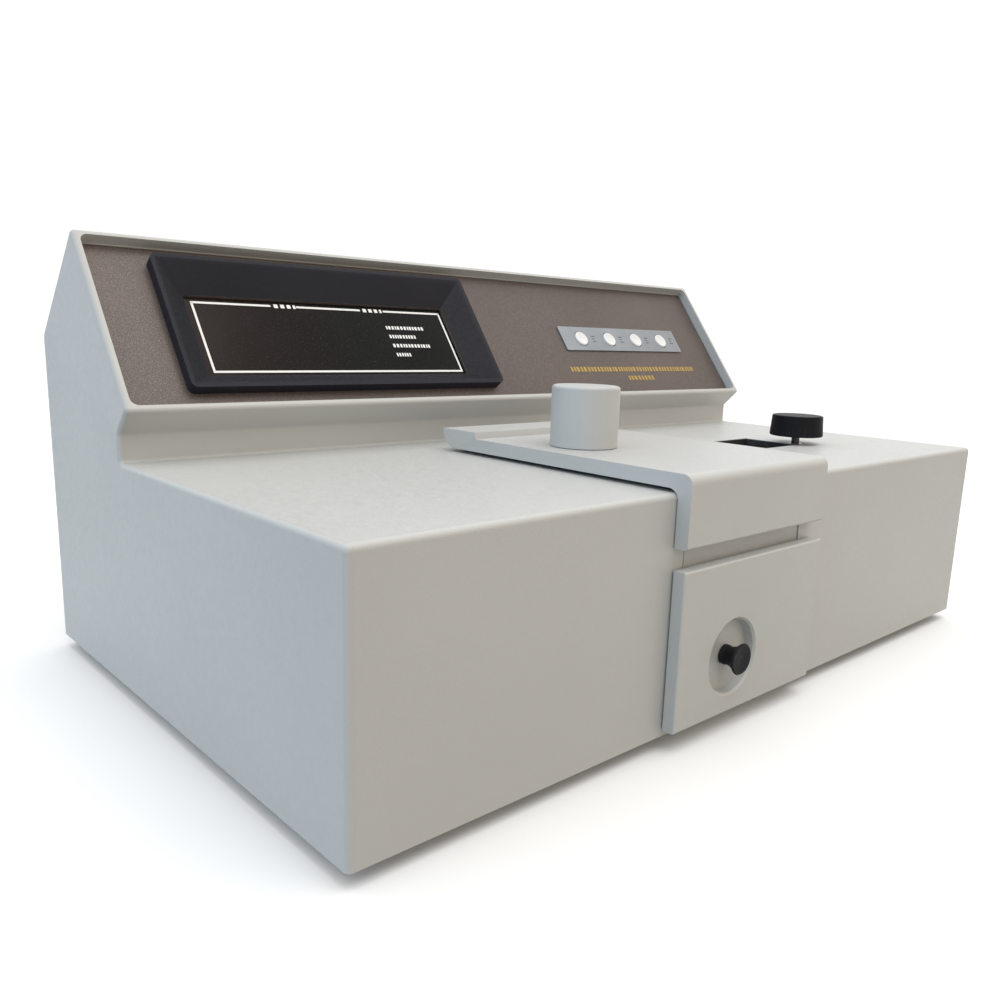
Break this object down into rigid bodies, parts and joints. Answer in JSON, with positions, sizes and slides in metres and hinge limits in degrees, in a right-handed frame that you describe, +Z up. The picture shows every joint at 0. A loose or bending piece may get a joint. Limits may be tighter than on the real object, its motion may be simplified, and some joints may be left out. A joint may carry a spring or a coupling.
{
  "type": "spectrophotometer",
  "caption": "Bench spectrophotometer with sloping display panel, hinged sample lid with tube cap, pull-out cuvette holder, wavelength knob and grating drive.",
  "frame": {"origin": "centre of the footprint on the bench, under the feet", "axes": "+Z up, +X to the user's right, -Y towards the user (the lid and the pull knob face -Y)"},
  "size_m": [0.422, 0.273, 0.1967],
  "materials": {
    "case_paint": "satin textured paint",
    "base_steel": "satin",
    "rubber_black": "matt",
    "screw_steel": "zinc plated",
    "panel_brown": "speckled metallic brown-grey",
    "bezel_plastic": "fine texture",
    "smoked_glass": "dark smoked",
    "board_green": "solder mask",
    "dark_plastic": "matt",
    "strip_silver": "satin",
    "key_white": "satin gloss",
    "black_paint": "matt black",
    "black_plastic": "satin",
    "bright_steel": "ground",
    "anodised": "black anodised",
    "bare_aluminium": "as cast",
    "quartz": "polished",
    "mirror_coat": "aluminised",
    "brass": "turned",
    "lamp_glass": "clear",
    "lamination": "varnished",
    "winding": "taped"
  },
  "bodies": {
    "case": {"cover_shell": "case_paint", "cover_hood": "case_paint", "cover_cheeks": "case_paint", "base_pan": "base_steel", "rubber_feet": "rubber_black", "case_screws": "screw_steel", "rear_panel": "base_steel", "display_panel": "panel_brown", "display_bezel": "bezel_plastic", "display_window": "smoked_glass", "display_board": "board_green", "digit_modules": "dark_plastic", "key_strip": "strip_silver", "sample_box": "black_paint", "front_sill": "case_paint", "front_panel": "case_paint", "brass_bushes": "brass", "carriage_rails": "bright_steel", "hinge_brackets": "bright_steel", "beam_lenses": "quartz", "detector_housing": "bare_aluminium", "photodiode": "dark_plastic", "monochromator_case": "bare_aluminium", "monochromator_cover": "bare_aluminium", "bench_mirrors": "mirror_coat", "drive_frame": "bare_aluminium", "wavelength_window": "smoked_glass", "lamp_house": "bare_aluminium", "halogen_lamp": "lamp_glass", "deuterium_lamp": "lamp_glass", "main_board": "board_green", "board_chips": "dark_plastic", "transformer_core": "lamination", "transformer_coil": "winding", "power_inlet": "black_plastic", "fuse_holder": "black_plastic", "switch_frame": "black_plastic", "serial_port": "bright_steel", "fan_frame": "dark_plastic"},
    "lid": {"sample_lid": "case_paint", "lid_baffle": "dark_plastic", "hinge_pins": "bright_steel"},
    "cap": {"tube_cap": "case_paint"},
    "carriage": {"cuvette_carriage": "anodised", "pull_rod": "bright_steel", "pull_knob": "black_plastic"},
    "wavelength_control": {"wavelength_knob": "black_plastic", "knob_shaft": "bright_steel"},
    "dial": {"wavelength_dial": "anodised"},
    "nut": {"drive_nut": "brass"},
    "grating": {"grating_shaft": "bright_steel", "grating_plate": "mirror_coat", "sine_bar": "bare_aluminium"},
    "key_one": {"key_1": "key_white"},
    "key_two": {"key_2": "key_white"},
    "key_three": {"key_3": "key_white"},
    "key_four": {"key_4": "key_white"},
    "rocker": {"switch_rocker": "black_plastic"},
    "rotor": {"fan_rotor": "dark_plastic"},
    "lamp_selector": {"lamp_mirror": "mirror_coat"}
  },
  "joints": [
    {"name": "lid_hinge", "type": "hinge", "parent": "case", "child": "lid", "pos_m": [0, 0.0105, 0.1091], "axis": [-1, 0, 0], "range_deg": [0, 75]},
    {"name": "cap_lift", "type": "slide", "parent": "lid", "child": "cap", "axis": [0, 0, 1], "range_m": [0, 0.03]},
    {"name": "carriage_pull", "type": "slide", "parent": "case", "child": "carriage", "axis": [0, -1, 0], "range_m": [0, 0.042]},
    {"name": "knob_turn", "type": "hinge", "parent": "case", "child": "wavelength_control", "pos_m": [0.1305, -0.0596, 0.1], "axis": [0, 0, 1], "range_deg": [-2521, 2521]},
    {"name": "dial_turn", "type": "hinge", "parent": "case", "child": "dial", "pos_m": [0.081, -0.0454, 0.091], "axis": [0, 0, 1], "range_deg": [-168.5, 168.5]},
    {"name": "nut_travel", "type": "slide", "parent": "case", "child": "nut", "axis": [0, 0, 1], "range_m": [-0.014, 0.014]},
    {"name": "grating_tilt", "type": "hinge", "parent": "case", "child": "grating", "pos_m": [0.06, 0.001, 0.056], "axis": [1, 0, 0], "range_deg": [-13.4, 13.4]},
    {"name": "key_one_press", "type": "slide", "parent": "case", "child": "key_one", "axis": [0, 0.8019, -0.5975], "range_m": [0, 0.0008], "stiffness_N_per_m": 700, "springref_m": -0.0006},
    {"name": "key_two_press", "type": "slide", "parent": "case", "child": "key_two", "axis": [0, 0.8019, -0.5975], "range_m": [0, 0.0008], "stiffness_N_per_m": 700, "springref_m": -0.0006},
    {"name": "key_three_press", "type": "slide", "parent": "case", "child": "key_three", "axis": [0, 0.8019, -0.5975], "range_m": [0, 0.0008], "stiffness_N_per_m": 700, "springref_m": -0.0006},
    {"name": "key_four_press", "type": "slide", "parent": "case", "child": "key_four", "axis": [0, 0.8019, -0.5975], "range_m": [0, 0.0008], "stiffness_N_per_m": 700, "springref_m": -0.0006},
    {"name": "rocker_tilt", "type": "hinge", "parent": "case", "child": "rocker", "pos_m": [-0.074, 0.1286, 0.045], "axis": [1, 0, 0], "range_deg": [0, 18]},
    {"name": "fan_spin", "type": "hinge", "parent": "case", "child": "rotor", "pos_m": [0.15, 0.119, 0.062], "axis": [0, 1, 0], "continuous": true},
    {"name": "lamp_select", "type": "hinge", "parent": "case", "child": "lamp_selector", "pos_m": [0.156, 0.06, 0.05], "axis": [0, 0, 1], "range_deg": [-50, 0]}
  ],
  "couplings": [
    {"joint": "knob_turn", "follows": "nut_travel", "rad_per_m": -3141.6},
    {"joint": "dial_turn", "follows": "nut_travel", "rad_per_m": 209.44},
    {"joint": "grating_tilt", "follows": "nut_travel", "rad_per_m": -16.502}
  ]
}
